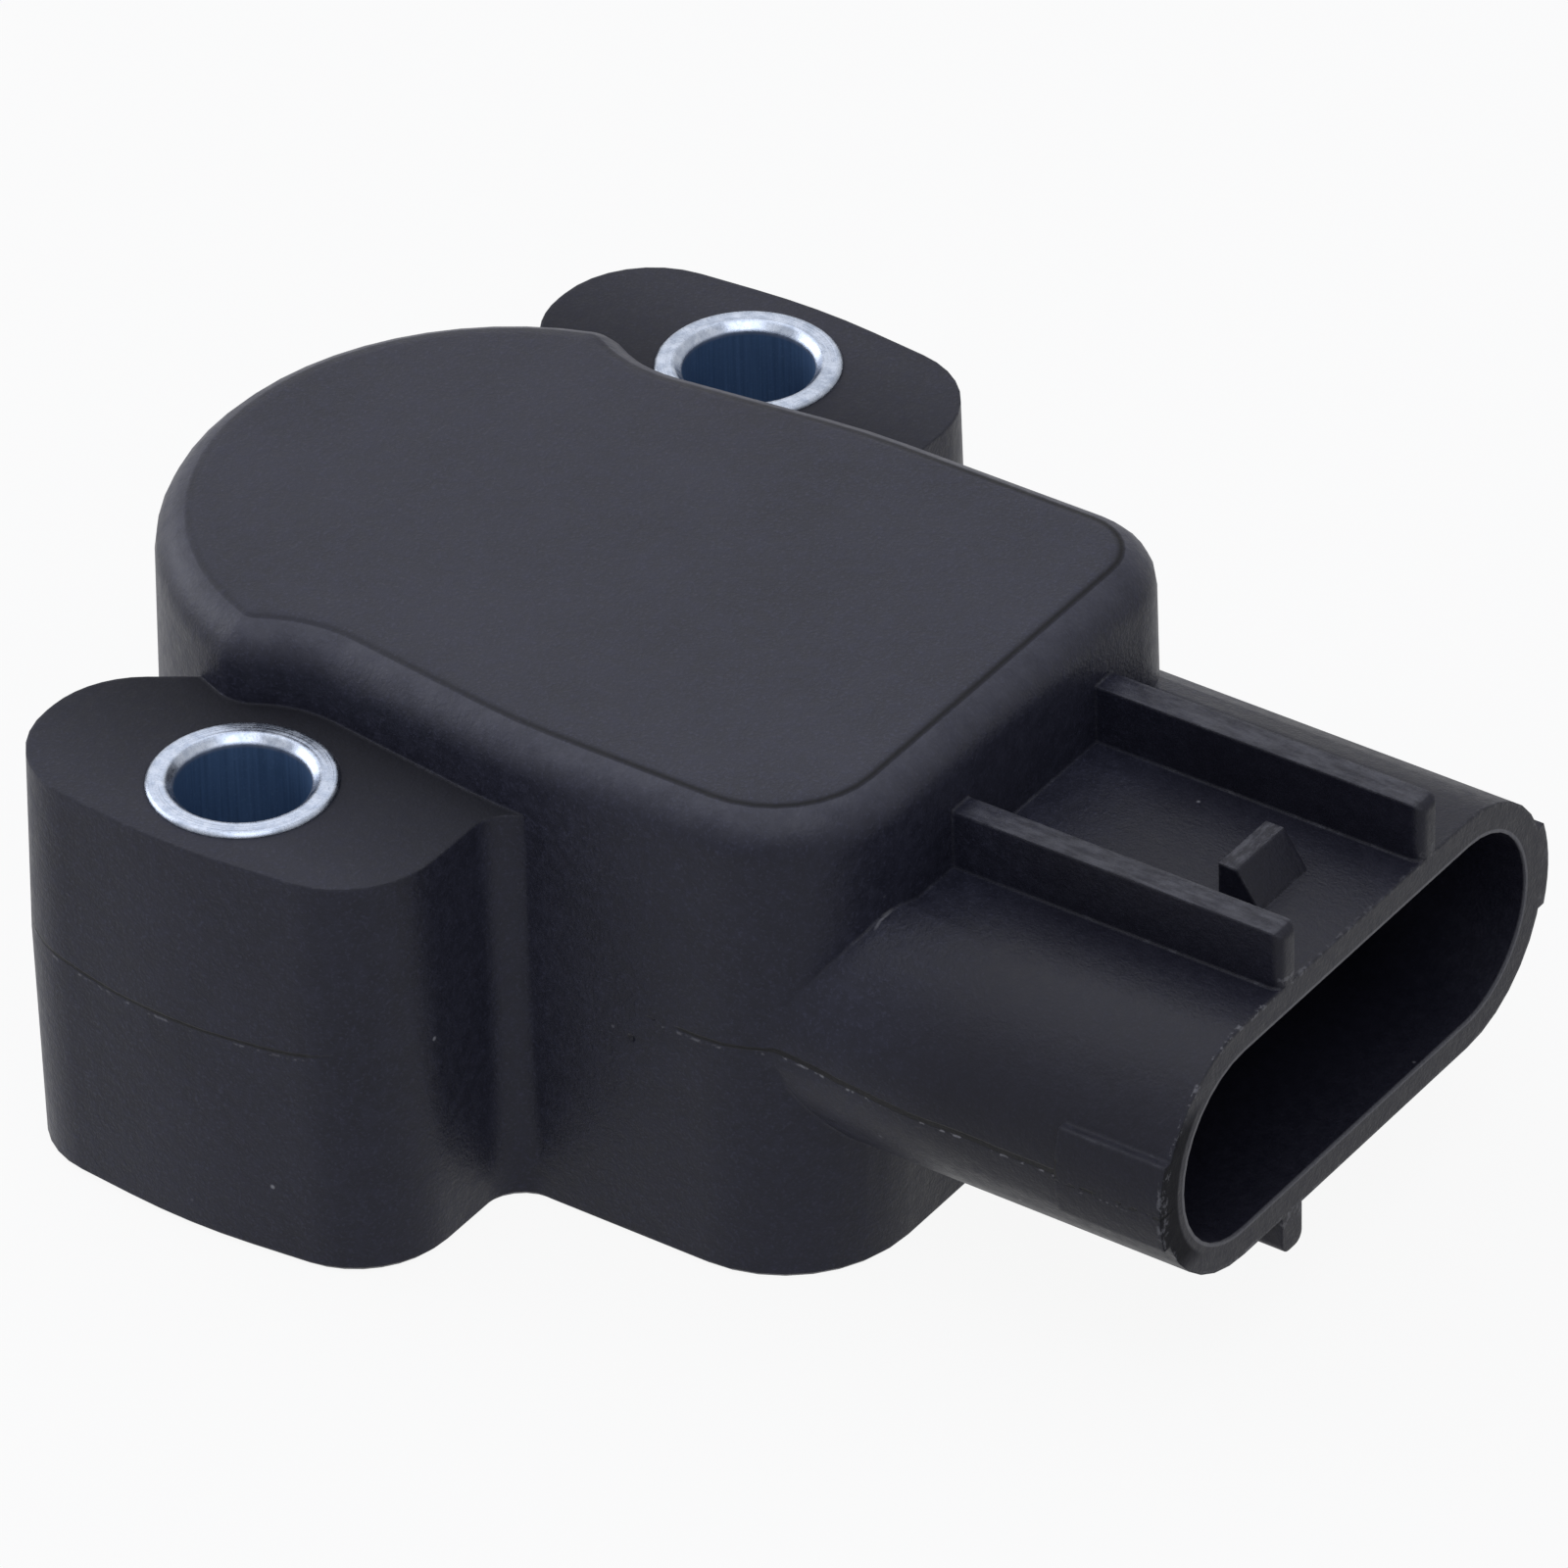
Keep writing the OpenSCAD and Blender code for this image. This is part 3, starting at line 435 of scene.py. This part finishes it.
def metal(name, a, b, rough=(0.25, 0.4), size=1.0, stretch=(1, 1, 1), spin=False):
    """Plain metal part: drawn or rolled streaks, or turned rings about the rotor's axis."""
    t = Tree(name)
    n = t.noise(size, 4, 0.6, stretch)
    height = n
    if spin:
        radius = t.join(t.hypot(t.x, t.y))
        height = t.noise(1.0, 2, 0.5, stretch=(7.0, 0.0, 0.0), vector=radius)
    edge, rounded = t.edges(0.08)
    base = t.mix(t.remap(n, 0.35, 0.7), a, b)
    base = t.mix(t.mul(edge, 0.4), base, lighter(b, 1.25))
    return t.set(Base_Color=base, Metallic=1.0, Roughness=t.remap(n, 0.3, 0.7, *rough),
                 Normal=t.bump(height, 0.3, 0.03, rounded))


def plain(name, a, b, rough=(0.45, 0.6), size=0.8, strength=0.2, bevel=0.12, wear=1.3):
    """Moulded or coated part: clouding, fine grain and slightly lighter edges."""
    t = Tree(name)
    n = t.noise(size, 3, 0.6)
    c = t.noise(6.0, 3, 0.6)
    edge, rounded = t.edges(bevel)
    base = t.mix(t.remap(c, 0.35, 0.68), a, b)
    base = t.mix(t.mul(t.remap(n, 0.55, 0.75), 0.3), base, lighter(b, 1.4))
    base = t.mix(t.mul(edge, 0.45), base, lighter(b, wear))
    return t.set(Base_Color=base, Roughness=t.remap(n, 0.3, 0.7, *rough),
                 Normal=t.bump(n, strength, 0.06, rounded), IOR=PLASTIC_IOR,
                 Specular_IOR_Level=0.4)


MATS = {
    "housing": housing_black("housing_black"),
    "base_cover": cover_black("cover_black"),
    "limiter_near": zinc("zinc_plate"),
    "face_seal": plain("seal_rubber", (0.010, 0.010, 0.010), (0.017, 0.017, 0.017),
                       rough=(0.35, 0.5), size=0.3, strength=0.15, bevel=0.1, wear=2.0),
    "rotor": plain("rotor_plastic", (0.40, 0.37, 0.30), (0.50, 0.47, 0.39),
                   rough=(0.4, 0.55), size=0.5, strength=0.25, bevel=0.15, wear=1.15),
    "thrust_washer": metal("washer_steel", (0.50, 0.51, 0.53), (0.66, 0.67, 0.69),
                           rough=(0.22, 0.34), size=1.4, spin=True),
    "return_spring": metal("spring_wire", (0.34, 0.35, 0.37), (0.50, 0.51, 0.53),
                           rough=(0.25, 0.42), size=0.6),
    "wiper": metal("contact_bronze", (0.55, 0.34, 0.16), (0.72, 0.50, 0.26),
                   rough=(0.2, 0.34), size=0.9),
    "element_board": plain("element_board", (0.62, 0.58, 0.48), (0.70, 0.67, 0.57),
                           rough=(0.5, 0.65), size=0.4, strength=0.15),
    "resistor_track": plain("carbon_ink", (0.008, 0.008, 0.009), (0.014, 0.014, 0.016),
                            rough=(0.4, 0.6), size=0.3, strength=0.3, bevel=0.05),
    "collector_track": metal("silver_ink", (0.55, 0.55, 0.56), (0.68, 0.68, 0.68),
                             rough=(0.35, 0.5), size=0.4),
    "terminal_1": metal("tin_plate", (0.54, 0.53, 0.50), (0.72, 0.71, 0.68),
                        rough=(0.2, 0.36), stretch=(0.25, 2, 2)),
}
MATS["limiter_far"] = MATS["limiter_near"]
MATS["lead_traces"] = MATS["collector_track"]
MATS["terminal_2"] = MATS["terminal_3"] = MATS["terminal_1"]

SHARP_ANGLE = 0.52  # radians, about 30 degrees
WELD = 1e-6  # metres


def soft_shade():
    """Node group: joins the points of neighbouring faces and shades smoothly below an angle."""
    g = bpy.data.node_groups.new("soft_shade", "GeometryNodeTree")
    for way in ("INPUT", "OUTPUT"):
        g.interface.new_socket("Geometry", in_out=way, socket_type="NodeSocketGeometry")
    start = g.nodes.new("NodeGroupInput")
    merge = g.nodes.new("GeometryNodeMergeByDistance")
    shade = g.nodes.new("GeometryNodeSetMeshNormal")
    angle = g.nodes.new("GeometryNodeInputMeshEdgeAngle")
    above = g.nodes.new("FunctionNodeCompare")
    end = g.nodes.new("NodeGroupOutput")
    merge.inputs["Distance"].default_value = WELD
    shade.mode = "SHARPNESS"
    shade.inputs["Remove Custom"].default_value = True
    shade.inputs["Face Sharpness"].default_value = False
    above.operation = "GREATER_THAN"
    above.inputs[1].default_value = SHARP_ANGLE
    g.links.new(start.outputs[0], merge.inputs["Geometry"])
    g.links.new(merge.outputs[0], shade.inputs[0])
    g.links.new(angle.outputs["Unsigned Angle"], above.inputs[0])
    g.links.new(above.outputs[0], shade.inputs["Edge Sharpness"])
    g.links.new(shade.outputs[0], end.inputs[0])
    return g


SHADE = soft_shade()
for name, obj in nodes.items():
    obj.data.materials.clear()
    obj.data.materials.append(MATS[name])
    obj.modifiers.new("soft_shade", "NODES").node_group = SHADE
    obj.modifiers.new("weighted", "WEIGHTED_NORMAL").keep_sharp = True


# ---- floor and world: white where seen, plain light elsewhere
FLOOR_HALF = 3.0  # metres
FLOOR_GAP = 0.00002
FLOOR_GREY = (0.50, 0.50, 0.52, 1)
FLOOR_WHITE = 0.92  # the rest of what is seen is the lit floor, with the object's shadow
WORLD_COLOUR, WORLD_LEVEL = (0.95, 0.97, 1.0, 1), 0.34
WHITE = (1, 1, 1, 1)


def seen(tree, share):
    """share where the camera, a reflection or a transmission looks, and 0 otherwise."""
    lp = tree.nodes.new("ShaderNodeLightPath")
    value = lp.outputs["Is Camera Ray"]
    for other in ("Is Glossy Ray", "Is Transmission Ray"):
        n = tree.nodes.new("ShaderNodeMath")
        n.operation = "MAXIMUM"
        tree.links.new(value, n.inputs[0])
        tree.links.new(lp.outputs[other], n.inputs[1])
        value = n.outputs[0]
    n = tree.nodes.new("ShaderNodeMath")
    n.operation = "MULTIPLY"
    tree.links.new(value, n.inputs[0])
    n.inputs[1].default_value = share
    return n.outputs[0]


def two_faced(owner, output, lit, white, share):
    """Gives owner a shader that is lit for the light and mixed with white where seen."""
    owner.use_nodes = True
    tree = owner.node_tree
    tree.nodes.clear()
    out = tree.nodes.new(output)
    mix = tree.nodes.new("ShaderNodeMixShader")
    tree.links.new(seen(tree, share), mix.inputs[0])
    for k, (kind, *values) in enumerate((lit, white)):
        n = tree.nodes.new(kind)
        for i, v in enumerate(values):
            n.inputs[i].default_value = v
        tree.links.new(n.outputs[0], mix.inputs[k + 1])
    tree.links.new(mix.outputs[0], out.inputs[0])


corners = [(-FLOOR_HALF, -FLOOR_HALF, 0), (FLOOR_HALF, -FLOOR_HALF, 0),
           (FLOOR_HALF, FLOOR_HALF, 0), (-FLOOR_HALF, FLOOR_HALF, 0)]
floor_mesh = bpy.data.meshes.new("floor")
floor_mesh.from_pydata(corners, [], [(0, 1, 2, 3)])
floor = bpy.data.objects.new("floor", floor_mesh)
bpy.context.collection.objects.link(floor)
floor.location.z = cad_box[0][2] - FLOOR_GAP
floor_white = bpy.data.materials.new("floor_white")
two_faced(floor_white, "ShaderNodeOutputMaterial", ("ShaderNodeBsdfDiffuse", FLOOR_GREY),
          ("ShaderNodeEmission", WHITE), FLOOR_WHITE)
floor_mesh.materials.append(floor_white)

world = bpy.data.worlds.new("world")
bpy.context.scene.world = world
two_faced(world, "ShaderNodeOutputWorld",
          ("ShaderNodeBackground", WORLD_COLOUR, WORLD_LEVEL),
          ("ShaderNodeBackground", WHITE), 1.0)

# ---- lamps: place, width and height in metres, watts
COOL = (0.92, 0.94, 1.0)
AIM = (0.01, 0, 0.01)
LAMPS = {
    "top": ((-0.35, 0.12, 1.00), (1.3, 1.3), 6.4),
    "side": ((-0.90, -0.15, 0.35), (0.8, 0.6), 4.2),
    "front": ((0.40, -0.45, 0.95), (0.8, 0.8), 4.2),
}
for name, (place, size, watts) in LAMPS.items():
    data = bpy.data.lights.new(name, "AREA")
    data.shape = "RECTANGLE"
    data.size, data.size_y = size
    data.energy = watts
    data.color = COOL
    lamp = bpy.data.objects.new(name, data)
    bpy.context.collection.objects.link(lamp)
    lamp.location = place
    lamp.rotation_euler = (Vector(AIM) - Vector(place)).to_track_quat("-Z", "Y").to_euler()

# ---- camera, fitted to the photo's limiters and connector mouth
CAM_PLACE = Vector((0.3066, -0.4127, 0.3733))
CAM_RIGHT = Vector((0.8235, 0.5671, -0.0189))
CAM_DOWN = Vector((0.3158, -0.4858, -0.8150))
CAM_AHEAD = Vector((-0.4713, 0.6651, -0.5791))
cam_data = bpy.data.cameras.new("camera")
cam_data.sensor_width = 36.0
cam_data.lens = 345.3
cam_data.clip_start = 0.01
cam_data.clip_end = 20.0
cam = bpy.data.objects.new("camera", cam_data)
bpy.context.collection.objects.link(cam)
turn = Matrix((CAM_RIGHT, -CAM_DOWN, -CAM_AHEAD)).transposed()
cam.matrix_world = Matrix.Translation(CAM_PLACE) @ turn.to_4x4()
bpy.context.scene.camera = cam
bpy.context.scene.view_settings.view_transform = "Standard"
